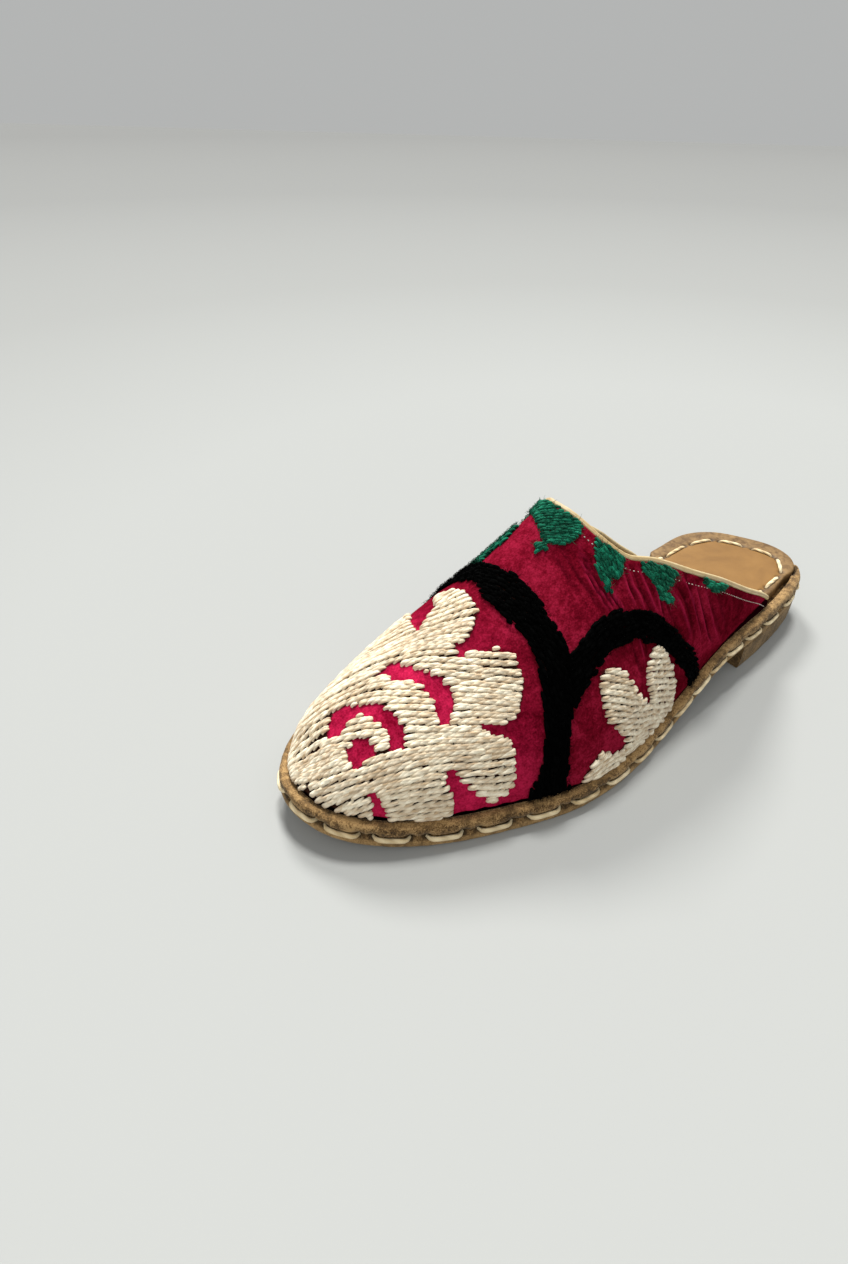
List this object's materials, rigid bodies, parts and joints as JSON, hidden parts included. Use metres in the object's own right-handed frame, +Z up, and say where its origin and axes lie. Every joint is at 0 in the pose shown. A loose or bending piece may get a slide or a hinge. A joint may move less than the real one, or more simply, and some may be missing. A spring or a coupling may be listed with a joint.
{
  "type": "babouche slipper",
  "caption": "Left babouche slipper: open-backed crimson velvet upper with embroidered flowers on a hand-stitched, welted leather sole with a low heel.",
  "frame": {"origin": "middle of the heel's flat underside, on the floor", "axes": "+X to the toe, +Y to the wearer's left (the outer side of this left shoe), +Z up"},
  "size_m": [0.2619, 0.0988, 0.0818],
  "materials": {
    "outsole_leather": "rough brown sole leather with a waxed thread seam",
    "heel_leather": "rough brown stacked leather",
    "insole_leather": "smooth tan leather, hand stitched round the edge",
    "welt_leather": "napped brown leather strip",
    "upper_velvet": "crimson silk velvet with cream, black and green thread embroidery",
    "binding_leather": "cream kid leather binding"
  },
  "bodies": {
    "root": {"outsole": "outsole_leather", "heel": "heel_leather", "insole": "insole_leather", "welt": "welt_leather", "upper": "upper_velvet", "topline_binding": "binding_leather"}
  },
  "joints": []
}
